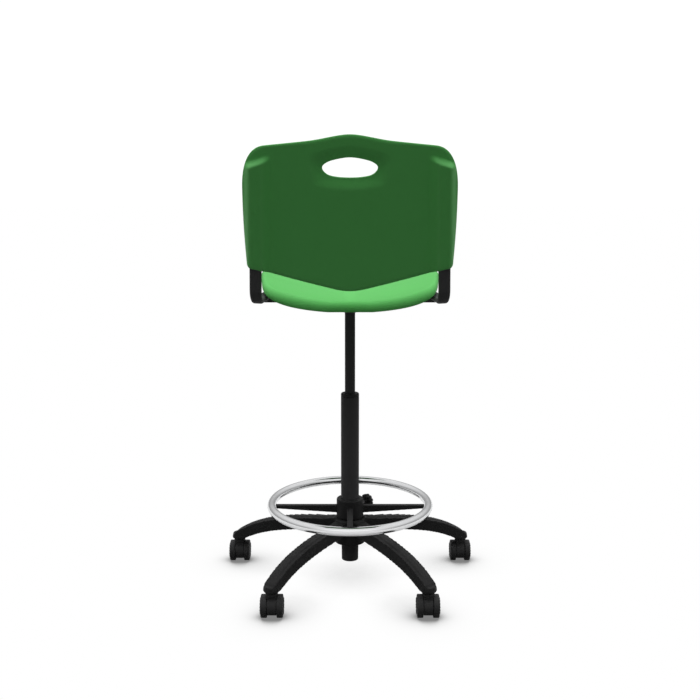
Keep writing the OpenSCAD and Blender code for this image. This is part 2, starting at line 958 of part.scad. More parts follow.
module foot_ring_bush() {
    color("#303032")
        translate([0, 0, ring_hub_z0 + 0.5])
            ring_of(ring_bush_r, column_r + running_gap, ring_hub_h - 5);
}

module foot_ring_hub() {
    spoke_end = ring_r - ring_tube_d / 2 + 1.5;
    lip_z = ring_hub_z0 + ring_hub_h - 4;
    hub_r = ring_hub_d / 2;
    color("#1c1c1e")
        difference() {
            union() {
                translate([0, 0, ring_hub_z0])
                    cylinder(h = ring_hub_h - 2, r = hub_r, $fn = 96);
                translate([0, 0, ring_hub_z0 + ring_hub_h - 2])
                    cylinder(h = 2, r1 = hub_r, r2 = hub_r - 2, $fn = 96);
                for (k = [0:3])
                    rotate([90, 0, k * 90])
                        translate([0, 0, -spoke_w / 2])
                            linear_extrude(height = spoke_w)
                                polygon([
                                    [hub_r - 4, spoke_top_z],
                                    [hub_r - 4, spoke_top_z - spoke_root_t],
                                    [spoke_end, spoke_top_z - spoke_tip_t],
                                    [spoke_end, spoke_top_z]
                                ]);
            }
            translate([0, 0, ring_hub_z0 - 1])
                cylinder(h = ring_hub_h - 3, r = ring_bush_r + running_gap, $fn = 96);
            translate([0, 0, lip_z - 1])
                cylinder(h = 10, r = column_r + 0.6, $fn = 96);
            translate([0, 0, stud_z])
                rotate([90, 0, knob_turn + 90])
                    cylinder(h = hub_r + 10, r = stud_r + running_gap, $fn = 48);
            spoke_sockets(5.6, 14);
            foot_ring_solid(ring_tube_d / 2);
        }
}

module foot_ring_solid(r) {
    translate([0, 0, ring_z])
        rotate_extrude($fn = 128)
            translate([ring_r, 0])
                circle(r = r, $fn = 48);
}

// Round sockets in the spokes' ends, and the pins welded in the ring
module spoke_sockets(d, depth) {
    for (k = [0:3])
        rotate([0, 0, k * 90])
            translate([ring_r - ring_tube_d / 2 - depth, 0, spoke_top_z - spoke_tip_t / 2])
                rotate([0, 90, 0])
                    cylinder(h = depth + 6, r = d / 2, $fn = 32);
}

module foot_ring() {
    color("#d8dade")
        difference() {
            foot_ring_solid(ring_tube_d / 2);
            foot_ring_solid(ring_tube_d / 2 - ring_wall);
            spoke_sockets(5, 12);
        }
}

module ring_pins() {
    color("silver")
        spoke_sockets(5, 12);
}

module clamp_knob() {
    lobes = 8;
    color("#1a1a1a")
        translate([0, 0, stud_z])
            rotate([90, 0, knob_turn + 90])
                translate([0, 0, knob_face])
                    difference() {
                        union() {
                            cylinder(h = knob_l, r = knob_d / 2 - 3, $fn = 64);
                            for (k = [0:lobes - 1])
                                rotate([0, 0, k * 360 / lobes])
                                    translate([knob_d / 2 - 5, 0, 0])
                                        cylinder(h = knob_l, r = 5, $fn = 32);
                        }
                        translate([0, 0, -1])
                            cylinder(h = 11, r = stud_r, $fn = 48);
                    }
}

module clamp_stud() {
    stud_start = ring_bush_r + assembly_gap;
    color("silver")
        translate([0, 0, stud_z])
            rotate([90, 0, knob_turn + 90])
                translate([0, 0, stud_start])
                    cylinder(h = knob_face + 10 - stud_start, r = stud_r, $fn = 48);
}

// ---------- casters ----------

wheel_r = wheel_d / 2;
hood_r = wheel_r - 3;
hood_z0 = 13;
axle_z = wheel_r;
stem_seat = 30;
wheel_x0 = hood_w / 2 + 0.5;

// Places a caster: stem axis on its arm, axle behind the stem, parallel to X
module caster_at(i) {
    a = -90 + (i - 1) * 360 / arm_count;
    translate([stem_circle_r * cos(a), stem_circle_r * sin(a), 0])
        children();
}

module caster_hood(i) {
    neck_z0 = wheel_d + 1;
    web_front = neck_d / 2 - 4;
    web_rear = trail + 14;
    color("#1c1c1e")
        caster_at(i)
            difference() {
                union() {
                    translate([0, 0, neck_z0])
                        cylinder(h = caster_h - neck_z0, r = neck_d / 2, $fn = 64);
                    translate([-hood_w / 2, -web_rear, axle_z])
                        cube([hood_w, web_rear + web_front, neck_z0 - axle_z + 1]);
                    translate([hood_w / 2, -trail, axle_z])
                        rotate([0, -90, 0])
                            cylinder(h = hood_w, r = hood_r, $fn = 96);
                }
                translate([-hood_w, -trail - wheel_r, hood_z0 - wheel_r])
                    cube([2 * hood_w, wheel_d, wheel_r]);
                translate([0, 0, caster_h - stem_seat])
                    cylinder(h = stem_seat + 1, r = stem_d / 2, $fn = 48);
                translate([hood_w / 2 + 1, -trail, axle_z])
                    rotate([0, -90, 0])
                        cylinder(h = hood_w + 2, r = axle_d / 2, $fn = 48);
            }
}

module caster_stem(i) {
    color("silver")
        caster_at(i)
            translate([0, 0, caster_h - stem_seat])
                cylinder(h = stem_seat + stem_l, r = stem_d / 2, $fn = 48);
}

module caster_axle(i) {
    half = wheel_x0 + wheel_w - 5;
    color("silver")
        caster_at(i)
            translate([half, -trail, axle_z])
                rotate([0, -90, 0])
                    cylinder(h = 2 * half, r = axle_d / 2, $fn = 48);
}

module caster_wheel(i, side) {
    wall = 3.5;
    dome = 3;
    bore = axle_d / 2 + running_gap;
    boss = axle_d / 2 + 4;
    outer = wheel_w - dome;
    color("#1a1a1a")
        caster_at(i)
            translate([0, -trail, axle_z])
                rotate([0, side * 90, 0])
                    translate([0, 0, wheel_x0])
                        rotate_extrude($fn = 96)
                            polygon([
                                [bore, 1],
                                [boss, 1],
                                [boss, wheel_w - 2 * wall],
                                [wheel_r - wall - 4, outer - wall],
                                [wheel_r - wall, outer - wall - 4],
                                [wheel_r - wall, 0],
                                [wheel_r - 1.5, 0],
                                [wheel_r, 1.5],
                                [wheel_r, outer - 2.5],
                                [wheel_r - 2.5, outer],
                                [wheel_r * 0.6, wheel_w - 0.8],
                                [0, wheel_w],
                                [0, wheel_w - 3],
                                [bore, wheel_w - 3]
                            ]);
}

// ---------- the parts ----------

star_base();
column_tube();
guide_bush();
bearing_seat();
piston_rod();
piston();
bearing_balls();
bearing_race();
rod_bumper();
rod_clip();
pressure_tube();
rod_seal();
release_button();
taper_socket();
mechanism_housing();
mechanism_plate();
lever_pivot_pin();
release_lever();
lever_grip();
mechanism_bolts();
front_cross_bar();
rear_cross_bar();
left_frame_tube();
right_frame_tube();
frame_end_caps();
seat_shell();
seat_screws();
back_shell();
back_screws();
foot_ring_bush();
foot_ring_hub();
foot_ring();
ring_pins();
clamp_knob();
clamp_stud();
for (i = CASTERS) {
    name = str("caster_", i);
    caster_hood(i);
    caster_stem(i);
    caster_axle(i);
    caster_wheel(i, 1);
    caster_wheel(i, -1);
}
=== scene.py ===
import math

import bmesh
import bpy
import numpy as np
from mathutils import Matrix, Vector


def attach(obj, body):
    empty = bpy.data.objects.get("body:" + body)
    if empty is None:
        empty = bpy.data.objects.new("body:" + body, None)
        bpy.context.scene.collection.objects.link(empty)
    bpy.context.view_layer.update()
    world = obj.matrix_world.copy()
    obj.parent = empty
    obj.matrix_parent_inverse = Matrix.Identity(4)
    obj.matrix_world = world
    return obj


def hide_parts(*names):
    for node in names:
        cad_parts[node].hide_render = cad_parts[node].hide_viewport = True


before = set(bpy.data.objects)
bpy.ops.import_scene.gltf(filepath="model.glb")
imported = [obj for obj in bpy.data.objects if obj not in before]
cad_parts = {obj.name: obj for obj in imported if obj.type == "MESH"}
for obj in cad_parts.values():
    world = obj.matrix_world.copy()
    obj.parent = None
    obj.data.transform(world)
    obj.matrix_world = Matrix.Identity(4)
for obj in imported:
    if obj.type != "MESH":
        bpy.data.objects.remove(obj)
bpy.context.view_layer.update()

MM = 0.001

# ---------- studio ----------
# A plain pale floor in a white room. The light is one wide soft glow overhead, a little in
# front of the chair, so the chair's rear stands in even shade. The floor's contact shadows are
# painted: to the camera it glows white, darkened by ambient occlusion near the chair.


class Wire:
    """One output of a shader node. Arithmetic on it adds Math nodes."""

    def __init__(self, nodes, socket):
        self.nodes = nodes
        self.socket = socket

    def math(self, operation, a, b):
        return self.nodes.add("ShaderNodeMath", {"operation": operation}, {0: a, 1: b})

    def __add__(self, other):
        return self.math("ADD", self, other)

    def __radd__(self, other):
        return self.math("ADD", other, self)

    def __sub__(self, other):
        return self.math("SUBTRACT", self, other)

    def __rsub__(self, other):
        return self.math("SUBTRACT", other, self)

    def __mul__(self, other):
        return self.math("MULTIPLY", self, other)

    def __rmul__(self, other):
        return self.math("MULTIPLY", other, self)

    def rising(self, low, high):
        """0 below low, 1 above high, smooth between them."""
        return self.nodes.add(
            "ShaderNodeMapRange",
            {"interpolation_type": "SMOOTHSTEP"},
            {"Value": self, "From Min": low, "From Max": high},
        )


class Nodes:
    """The node tree of a material or of the room."""

    def __init__(self, tree):
        self.tree = tree

    def add(self, kind, settings=None, sockets=None, output=0):
        node = self.tree.nodes.new(kind)
        for name, value in (settings or {}).items():
            setattr(node, name, value)
        for name, value in (sockets or {}).items():
            if isinstance(value, Wire):
                self.tree.links.new(value.socket, node.inputs[name])
            else:
                node.inputs[name].default_value = value
        return Wire(self, node.outputs[output])

    def blend(self, share, a, b):
        """Colour a where share is 0, colour b where it is 1."""
        return self.add("ShaderNodeMix", {"data_type": "RGBA"}, {0: share, 6: a, 7: b}, 2)


camera_data = bpy.data.cameras.new("studio_camera")
camera_data.lens = 49.886
camera_data.sensor_width = 36.0
camera = bpy.data.objects.new("studio_camera", camera_data)
camera.location = (0.0, 2.604, 1.109)
camera.rotation_euler = (math.radians(90 - 10.05), 0.0, math.radians(180))
bpy.context.scene.collection.objects.link(camera)
bpy.context.scene.camera = camera
bpy.context.scene.view_settings.view_transform = "Standard"

room = bpy.data.worlds.new("white_room")
room.use_nodes = True
bpy.context.scene.world = room
sky = Nodes(room.node_tree)
look = sky.add("ShaderNodeTexCoord", output="Generated")
overhead = sky.add(
    "ShaderNodeVectorMath", {"operation": "DOT_PRODUCT"}, {0: look, 1: (0.0, -0.30, 0.954)}, "Value"
)
height = sky.add("ShaderNodeSeparateXYZ", None, {"Vector": look}, "Z")
seen = sky.add("ShaderNodeLightPath", output="Is Camera Ray")
behind = sky.add("ShaderNodeSeparateXYZ", None, {"Vector": look}, "Y")
mirrored = sky.add("ShaderNodeLightPath", output="Is Glossy Ray")
glow = 0.08 + 2.72 * overhead.rising(0.45, 0.97)
shine = 0.36 + 0.42 * height.rising(0.10, 0.70) + 0.40 * behind.rising(0.4, 0.95)
strength = seen * 1.05 + (1.0 - seen) * (mirrored * shine + (1.0 - mirrored) * glow)
background = room.node_tree.nodes["Background"]
background.inputs["Color"].default_value = (1.0, 1.0, 1.0, 1.0)
room.node_tree.links.new(strength.socket, background.inputs["Strength"])

floor_mesh = bpy.data.meshes.new("studio_floor")
floor_shape = bmesh.new()
bmesh.ops.create_circle(floor_shape, cap_ends=True, segments=96, radius=40.0)
floor_shape.to_mesh(floor_mesh)
floor_shape.free()
studio_floor = bpy.data.objects.new("studio_floor", floor_mesh)
bpy.context.scene.collection.objects.link(studio_floor)
floor_paint = bpy.data.materials.new("studio_floor")
floor_paint.use_nodes = True
floor_nodes = Nodes(floor_paint.node_tree)
floor_surface = floor_paint.node_tree.nodes["Principled BSDF"]
floor_surface.inputs["Roughness"].default_value = 0.9
floor_surface.inputs["Specular IOR Level"].default_value = 0.0
floor_seen = floor_nodes.add("ShaderNodeLightPath", output="Is Camera Ray")
floor_mirrored = floor_nodes.add("ShaderNodeLightPath", output="Is Glossy Ray")
floor_tone = floor_nodes.blend(floor_mirrored, (0.10, 0.10, 0.10, 1.0), (0.64, 0.64, 0.64, 1.0))
floor_paint.node_tree.links.new(floor_tone.socket, floor_surface.inputs["Base Color"])
# Painted contact shadow: ambient occlusion darkens the floor's camera-seen glow near the chair.
openness = floor_nodes.add("ShaderNodeAmbientOcclusion", {"samples": 24}, {"Distance": 0.15}, "AO")
floor_open = openness.rising(0.36, 1.0)
floor_painted_shadow = floor_nodes.blend(floor_open, (0.22, 0.22, 0.22, 1.0), (1.0, 1.0, 1.0, 1.0))
# Painted glow: the floor shines white to the camera only and lights nothing; other rays see it grey.
floor_painted_glow = floor_nodes.add("ShaderNodeEmission", None, {"Color": floor_painted_shadow, "Strength": 1.0})
floor_lit = Wire(floor_nodes, floor_surface.outputs[0])
floor_whole = floor_nodes.add("ShaderNodeMixShader", None, {0: floor_seen, 1: floor_lit, 2: floor_painted_glow})
floor_paint.node_tree.links.new(
    floor_whole.socket, floor_paint.node_tree.nodes["Material Output"].inputs["Surface"]
)
floor_mesh.materials.append(floor_paint)

# ---------- five-star base ----------
# One moulding of glass-filled nylon: five hollow arms run out from a hub and hook down to the
# caster sockets. A low crown runs along each arm, and the corners are rounded as it leaves the tool.


class Finish(Nodes):
    """A material: constants on its surface, and patterns laid over its Object coordinates."""

    def __init__(self, name, constants):
        self.material = bpy.data.materials.new(name)
        self.material.use_nodes = True
        super().__init__(self.material.node_tree)
        self.surface = self.tree.nodes["Principled BSDF"]
        for socket, value in constants.items():
            self.surface.inputs[socket].default_value = value
        self.place = self.add("ShaderNodeTexCoord", output="Object")
        self.worn = self.add("ShaderNodeAttribute", {"attribute_name": "worn"}, None, "Fac")

    def cloud(self, scale, detail=2.0, stretch=(1.0, 1.0, 1.0)):
        """A soft random pattern of the given scale per metre."""
        place = self.add("ShaderNodeMapping", None, {"Vector": self.place, "Scale": stretch})
        return self.add("ShaderNodeTexNoise", None, {"Vector": place, "Scale": scale, "Detail": detail})

    def pebble(self, scale):
        """Rounded cells, as on a grained mould."""
        cells = {"Vector": self.place, "Scale": scale}
        return self.add("ShaderNodeTexVoronoi", {"feature": "SMOOTH_F1"}, cells, "Distance")

    def raise_by(self, depth, height, over=None):
        """A surface normal for height, depth metres deep, laid over another one."""
        sockets = {"Height": height, "Distance": depth, "Strength": 1.0}
        if over is not None:
            sockets["Normal"] = over
        return self.add("ShaderNodeBump", None, sockets, "Normal")

    def feed(self, socket, wire):
        self.tree.links.new(wire.socket, self.surface.inputs[socket])


black_nylon = Finish("black_nylon", {"Specular IOR Level": 0.08, "IOR": 1.5})
nylon_flow = black_nylon.cloud(14.0, 4.0)
nylon_dust = black_nylon.cloud(60.0, 5.0).rising(0.52, 0.78)
nylon_scuffs = black_nylon.cloud(90.0, 3.0, (1.0, 1.0, 14.0)).rising(0.66, 0.74)
nylon_tone = black_nylon.blend(
    0.5 * nylon_flow + 0.3 * nylon_dust, (0.0240, 0.0240, 0.0246, 1.0), (0.0370, 0.0368, 0.0364, 1.0)
)
nylon_edges = (black_nylon.worn * nylon_dust).rising(0.15, 0.7)
black_nylon.feed("Base Color", black_nylon.blend(nylon_edges * 0.7, nylon_tone, (0.045, 0.044, 0.043, 1.0)))
black_nylon.feed("Roughness", 0.44 + 0.16 * nylon_flow + 0.10 * nylon_scuffs - 0.08 * black_nylon.worn)
nylon_grain = black_nylon.raise_by(0.00010, black_nylon.pebble(1500.0))
nylon_waves = black_nylon.cloud(160.0, 3.0) + 0.3 * nylon_scuffs
black_nylon.feed("Normal", black_nylon.raise_by(0.0006, nylon_waves, nylon_grain))


def cad_copy(name, *nodes):
    """A welded copy of CAD nodes as one new piece."""
    shape = bmesh.new()
    for node in nodes:
        shape.from_mesh(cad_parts[node].data)
    bmesh.ops.remove_doubles(shape, verts=shape.verts, dist=0.002 * MM)
    mesh = bpy.data.meshes.new(name)
    shape.to_mesh(mesh)
    shape.free()
    return placed(name, mesh)


def placed(name, mesh):
    piece = bpy.data.objects.new(name, mesh)
    bpy.context.scene.collection.objects.link(piece)
    return piece


def baked(piece):
    """The piece with its modifiers made part of its mesh."""
    bpy.context.view_layer.update()
    result = piece.evaluated_get(bpy.context.evaluated_depsgraph_get())
    mesh = bpy.data.meshes.new_from_object(result)
    mesh.name = piece.name
    piece.modifiers.clear()
    piece.data = mesh
    return piece


def moulded(piece, cell, passes):
    """Rounds every corner, inside and out, as a mould does."""
    remesh = piece.modifiers.new("skin", "REMESH")
    remesh.mode = "VOXEL"
    remesh.voxel_size = cell
    soften = piece.modifiers.new("soften", "SMOOTH")
    soften.factor = 0.5
    soften.iterations = passes
    return baked(piece)


def mark_worn(mesh):
    """Stores how far each point stands out from its neighbours, for wear on the corners."""
    count = len(mesh.vertices)
    points = np.empty(count * 3, np.float32)
    mesh.vertices.foreach_get("co", points)
    points = points.reshape(-1, 3)
    normals = np.empty(count * 3, np.float32)
    mesh.vertex_normals.foreach_get("vector", normals)
    edges = np.empty(len(mesh.edges) * 2, np.int32)
    mesh.edges.foreach_get("vertices", edges)
    a, b = edges.reshape(-1, 2).T
    steps = np.linalg.norm(points[a] - points[b], axis=1)
    total = np.zeros((count, 3))
    span = np.zeros(count)
    links = np.zeros(count)
    for one, other in ((a, b), (b, a)):
        np.add.at(total, one, points[other])
        np.add.at(span, one, steps)
        np.add.at(links, one, 1.0)
    links = np.maximum(links, 1.0)
    standing = ((points - total / links[:, None]) * normals.reshape(-1, 3)).sum(1)
    worn = np.clip(5.0 * standing / np.maximum(span / links, 1e-6), 0.0, 1.0)
    attribute = mesh.attributes.new("worn", "FLOAT", "POINT")
    attribute.data.foreach_set("value", worn.astype(np.float32))


def settle(piece, finish, slot, body, *nodes, crease=38):
    """Shades a piece, gives it its finish, hangs it on its body and hides its CAD nodes. The slot is not
    used.
    """
    mesh = piece.data
    mesh.polygons.foreach_set("use_smooth", [True] * len(mesh.polygons))
    mesh.set_sharp_from_angle(angle=math.radians(crease))
    mark_worn(mesh)
    mesh.materials.clear()
    mesh.materials.append(finish.material)
    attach(piece, body)
    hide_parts(*nodes)


def dress(finish, *nodes):
    """Gives CAD nodes that stay a finish."""
    for node in nodes:
        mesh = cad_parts[node].data
        mesh.materials.clear()
        mesh.materials.append(finish.material)


def smooth(value, low, high):
    """0 below low, 1 above high, smooth between them."""
    t = np.clip((value - low) / (high - low), 0.0, 1.0)
    return t * t * (3 - 2 * t)


ARM_TURNS = [math.radians(-90 + 72 * i) for i in range(5)]
ARM_ROOT, ARM_TIP = 40 * MM, 347 * MM
ARM_TOP, ARM_FALL, ARM_HOOK = 168 * MM, 40 * MM, 36 * MM
CROWN_DEPTH, CROWN_HALF, CROWN_EDGE = 2.6 * MM, 7.0 * MM, 10.5 * MM

star = moulded(cad_copy("star_base_moulding", "star_base"), 2.6 * MM, 4)
star_points = np.empty(len(star.data.vertices) * 3, np.float32)
star.data.vertices.foreach_get("co", star_points)
star_points = star_points.reshape(-1, 3)
star_up = np.empty(len(star.data.vertices) * 3, np.float32)
star.data.vertex_normals.foreach_get("vector", star_up)
star_up = star_up.reshape(-1, 3)[:, 2]
outward = np.array([[math.cos(a), math.sin(a)] for a in ARM_TURNS])
along = star_points[:, :2] @ outward.T
nearest = along.argmax(1)
reach = along.max(1)
aside = np.abs(
    star_points[:, 1] * outward[nearest, 0] - star_points[:, 0] * outward[nearest, 1]
)
share = np.clip((reach - ARM_ROOT) / (ARM_TIP - ARM_ROOT), 0.0, 1.1)
arm_top = ARM_TOP - ARM_FALL * share**1.5 - ARM_HOOK * share**5
on_top = smooth(star_up, 0.25, 0.6) * smooth(star_points[:, 2] - arm_top, -9 * MM, -5 * MM)
along_arm = smooth(reach, 50 * MM, 75 * MM) * (1 - smooth(reach, 318 * MM, 338 * MM))
star_points[:, 2] -= CROWN_DEPTH * smooth(aside, CROWN_HALF, CROWN_EDGE) * on_top * along_arm
star.data.vertices.foreach_set("co", star_points.ravel())
star.data.update()
settle(star, black_nylon, "black_nylon", "base", "star_base", crease=60)

# ---------- casters ----------
# Twin-wheel casters: a moulded hood on a steel stem, and two wheels on one axle. Each wheel has
# a dished cover with ribs round its hub, and a rounded tread that meets the floor.

STEM_CIRCLE, TRAIL, WHEEL_R = 340 * MM, 4 * MM, 30 * MM
WHEEL_START = 13 * MM
COVER_RIBS = 14

bright_steel = Finish("bright_steel", {"Metallic": 1.0, "Specular IOR Level": 0.5})
steel_smear = bright_steel.cloud(40.0, 3.0)
steel_lines = bright_steel.cloud(700.0, 2.0, (1.0, 1.0, 9.0))
steel_tone = bright_steel.blend(steel_smear, (0.42, 0.42, 0.43, 1.0), (0.60, 0.60, 0.61, 1.0))
bright_steel.feed("Base Color", steel_tone)
bright_steel.feed("Roughness", 0.20 + 0.12 * steel_smear + 0.08 * steel_lines)
bright_steel.feed("Normal", bright_steel.raise_by(0.00004, steel_lines))

wheel_nylon = Finish("wheel_nylon", {"Specular IOR Level": 0.10})
wheel_dust = wheel_nylon.cloud(45.0, 5.0).rising(0.45, 0.75)
wheel_scratch = wheel_nylon.cloud(240.0, 3.0, (0.2, 1.0, 1.0)).rising(0.60, 0.70)
wheel_tone = wheel_nylon.blend(wheel_dust * 0.6, (0.046, 0.046, 0.047, 1.0), (0.064, 0.063, 0.061, 1.0))
wheel_rub = wheel_nylon.worn * wheel_scratch * 0.6
wheel_nylon.feed("Base Color", wheel_nylon.blend(wheel_rub, wheel_tone, (0.09, 0.088, 0.085, 1.0)))
wheel_nylon.feed("Roughness", 0.46 + 0.18 * wheel_dust + 0.08 * wheel_scratch)
wheel_nylon.feed("Normal", wheel_nylon.raise_by(0.00008, wheel_nylon.pebble(1900.0) + 0.5 * wheel_scratch))


def eased(outline, radius, closed=True, steps=3):
    """The outline with each corner cut back by radius and rounded."""
    points = [Vector(p) for p in outline]
    last = len(points) - 1
    result = []
    for i, corner in enumerate(points):
        if not closed and i in (0, last):
            result.append(corner)
            continue
        before, after = points[i - 1] - corner, points[(i + 1) % len(points)] - corner
        cut = min(radius, 0.45 * before.length, 0.45 * after.length)
        start, end = corner + before.normalized() * cut, corner + after.normalized() * cut
        for k in range(steps + 1):
            t = k / steps
            result.append((1 - t) ** 2 * start + 2 * t * (1 - t) * corner + t * t * end)
    return [(p.x, p.y) for p in result]


def turned(name, outline, sides, closed=True, flutes=0, flute_depth=0.0):
    """A shape turned about Z from (radius, height) points. Flutes pull the radius in between lobes."""
    shape = bmesh.new()
    rings = []
    for radius, height in outline:
        if radius < 1e-7:
            rings.append([shape.verts.new((0.0, 0.0, height))] * sides)
            continue
        ring = []
        for k in range(sides):
            angle = 2 * math.pi * k / sides
            pull = flute_depth * (0.5 - 0.5 * math.cos(flutes * angle)) ** 2 if flutes else 0.0
            r = radius * (1 - pull)
            ring.append(shape.verts.new((r * math.cos(angle), r * math.sin(angle), height)))
        rings.append(ring)
    pairs = list(zip(rings, rings[1:]))
    if closed:
        pairs.append((rings[-1], rings[0]))
    for low, high in pairs:
        for k in range(sides):
            corners = [low[k], low[(k + 1) % sides], high[(k + 1) % sides], high[k]]
            loop = [v for i, v in enumerate(corners) if v is not corners[i - 1]]
            if len(set(loop)) > 2:
                shape.faces.new(loop)
    bmesh.ops.recalc_face_normals(shape, faces=shape.faces)
    mesh = bpy.data.meshes.new(name)
    shape.to_mesh(mesh)
    shape.free()
    return placed(name, mesh)


def set_at(piece, *moves):
    """Puts the moves into the piece's mesh, so its object stays at the origin."""
    for move in moves:
        piece.data.transform(move)
    return piece


def joined(name, pieces):
    """Several pieces as one mesh."""
    shape = bmesh.new()
    for piece in pieces:
        shape.from_mesh(piece.data)
        bpy.data.objects.remove(piece)
    mesh = bpy.data.meshes.new(name)
    shape.to_mesh(mesh)
    shape.free()
    return placed(name, mesh)


def ring_tree(name):
    """Geometry Nodes: Count small ribs, each Length by Width by Height, set round a circle of Radius."""
    tree = bpy.data.node_groups.new(name, "GeometryNodeTree")
    for label, kind in (
        ("Count", "NodeSocketInt"), ("Radius", "NodeSocketFloat"), ("Length", "NodeSocketFloat"),
        ("Width", "NodeSocketFloat"), ("Height", "NodeSocketFloat"), ("Finish", "NodeSocketMaterial"),
    ):
        tree.interface.new_socket(label, in_out="INPUT", socket_type=kind)
    tree.interface.new_socket("Geometry", in_out="OUTPUT", socket_type="NodeSocketGeometry")
    made = {}
    for key, kind in (
        ("inputs", "NodeGroupInput"), ("circle", "GeometryNodeMeshCircle"), ("size", "ShaderNodeCombineXYZ"),
        ("rib", "GeometryNodeMeshCube"), ("round", "GeometryNodeSubdivisionSurface"),
        ("place", "FunctionNodeAlignRotationToVector"), ("where", "GeometryNodeInputPosition"),
        ("copy", "GeometryNodeInstanceOnPoints"), ("real", "GeometryNodeRealizeInstances"),
        ("paint", "GeometryNodeSetMaterial"), ("outputs", "NodeGroupOutput"),
    ):
        made[key] = tree.nodes.new(kind)
    made["round"].inputs["Level"].default_value = 1
    made["round"].inputs["Edge Crease"].default_value = 0.75
    made["rib"].inputs["Vertices X"].default_value = 3
    made["place"].axis = "X"
    for source, output, target, socket in (
        ("inputs", "Count", "circle", "Vertices"), ("inputs", "Radius", "circle", "Radius"),
        ("inputs", "Length", "size", "X"), ("inputs", "Width", "size", "Y"),
        ("inputs", "Height", "size", "Z"), ("size", "Vector", "rib", "Size"),
        ("rib", "Mesh", "round", "Mesh"), ("circle", "Mesh", "copy", "Points"),
        ("round", "Mesh", "copy", "Instance"), ("where", "Position", "place", "Vector"),
        ("place", "Rotation", "copy", "Rotation"), ("copy", "Instances", "real", "Geometry"),
        ("real", "Geometry", "paint", "Geometry"), ("inputs", "Finish", "paint", "Material"),
        ("paint", "Geometry", "outputs", "Geometry"),
    ):
        tree.links.new(made[source].outputs[output], made[target].inputs[socket])
    return tree


def ring_of_ribs(name, tree, sizes):
    """The ribs of ring_tree as a plain mesh."""
    piece = placed(name, bpy.data.meshes.new(name))
    ribs = piece.modifiers.new("ribs", "NODES")
    ribs.node_group = tree
    for item in tree.interface.items_tree:
        if item.in_out == "INPUT":
            ribs[item.identifier] = sizes[item.name]
    return baked(piece)


cover_tree = ring_tree("wheel_cover_ribs")
wheel_outline = eased(
    [
        (4.05, 1.0), (8.0, 1.0), (8.0, 11.0), (22.5, 11.5), (26.5, 7.5), (26.5, 0.0), (28.8, 0.0),
        (29.8, 0.5), (30.0, 1.6), (30.0, 12.8), (29.6, 14.2), (28.6, 15.0), (27.4, 15.1), (26.8, 14.6),
        (26.0, 14.6), (25.2, 15.2), (19.0, 16.9), (12.0, 17.2), (9.6, 16.8), (9.0, 17.4), (7.6, 18.0),
        (4.4, 18.0), (4.05, 17.2),
    ],
    0.7,
)
wheel_outline = [(r * MM, z * MM) for r, z in wheel_outline]
cap_outline = [(r * MM, z * MM) for r, z in [(0, 17.7), (2.8, 17.55), (4.0, 17.0), (4.0, 14.5), (0, 14.5)]]

for i in range(1, 6):
    turn = ARM_TURNS[i - 1]
    spot = Vector((STEM_CIRCLE * math.cos(turn), STEM_CIRCLE * math.sin(turn), 0.0))
    hood = moulded(cad_copy(f"caster_{i}_hood_moulding", f"caster_{i}_hood"), 1.1 * MM, 4)
    settle(hood, wheel_nylon, "black_nylon", f"caster_{i}", f"caster_{i}_hood", crease=60)
    dress(bright_steel, f"caster_{i}_stem", f"caster_{i}_axle")
    for side, word in ((-1, "left"), (1, "right")):
        rim = turned("rim", wheel_outline, 96)
        cap = turned("cap", cap_outline, 32, closed=False)
        ribs = ring_of_ribs(
            "ribs", cover_tree,
            {"Count": COVER_RIBS, "Radius": 17.0 * MM, "Length": 9.0 * MM, "Width": 1.3 * MM,
             "Height": 1.4 * MM, "Finish": wheel_nylon.material},
        )
        set_at(ribs, Matrix.Translation((0, 0, 16.9 * MM)))
        wheel = joined(f"caster_{i}_{word}_wheel_moulding", [rim, cap, ribs])
        set_at(
            wheel,
            Matrix.Translation((0, 0, WHEEL_START)),
            Matrix.Rotation(side * math.pi / 2, 4, "Y"),
            Matrix.Translation(spot + Vector((0, -TRAIL, WHEEL_R))),
        )
        settle(wheel, wheel_nylon, "wheel_nylon", f"caster_{i}_{word}", f"caster_{i}_{word}_wheel")

# ---------- gas lift ----------
# A steel outer tube in the hub's tapered bore, with a plastic guide bush whose collar shows at
# its top. The thinner pressure tube slides in it. Both tubes are finished in black enamel.

COLUMN_R, COLUMN_TIP_R, COLUMN_FOOT, COLUMN_TOP, TUBE_R = 25.0, 23.2, 48.0, 528.0, 14.0
COLLAR_H, BASE_TOP = 10.0, 172.0

black_enamel = Finish("black_enamel", {"Specular IOR Level": 0.04})
enamel_flow = black_enamel.cloud(9.0, 3.0)
enamel_peel = black_enamel.cloud(420.0, 1.5)
enamel_smear = black_enamel.cloud(26.0, 4.0, (1.0, 1.0, 0.25)).rising(0.5, 0.8)
enamel_chip = (black_enamel.worn * black_enamel.cloud(300.0, 3.0)).rising(0.30, 0.42)
enamel_tone = black_enamel.blend(enamel_flow, (0.0800, 0.0800, 0.0812, 1.0), (0.0940, 0.0940, 0.0950, 1.0))
black_enamel.feed("Base Color", black_enamel.blend(enamel_chip * 0.5, enamel_tone, (0.11, 0.11, 0.112, 1.0)))
black_enamel.feed("Roughness", 0.50 + 0.10 * enamel_flow + 0.10 * enamel_smear)
black_enamel.feed("Normal", black_enamel.raise_by(0.00006, enamel_peel))


def in_mm(points):
    return [(r * MM, z * MM) for r, z in points]


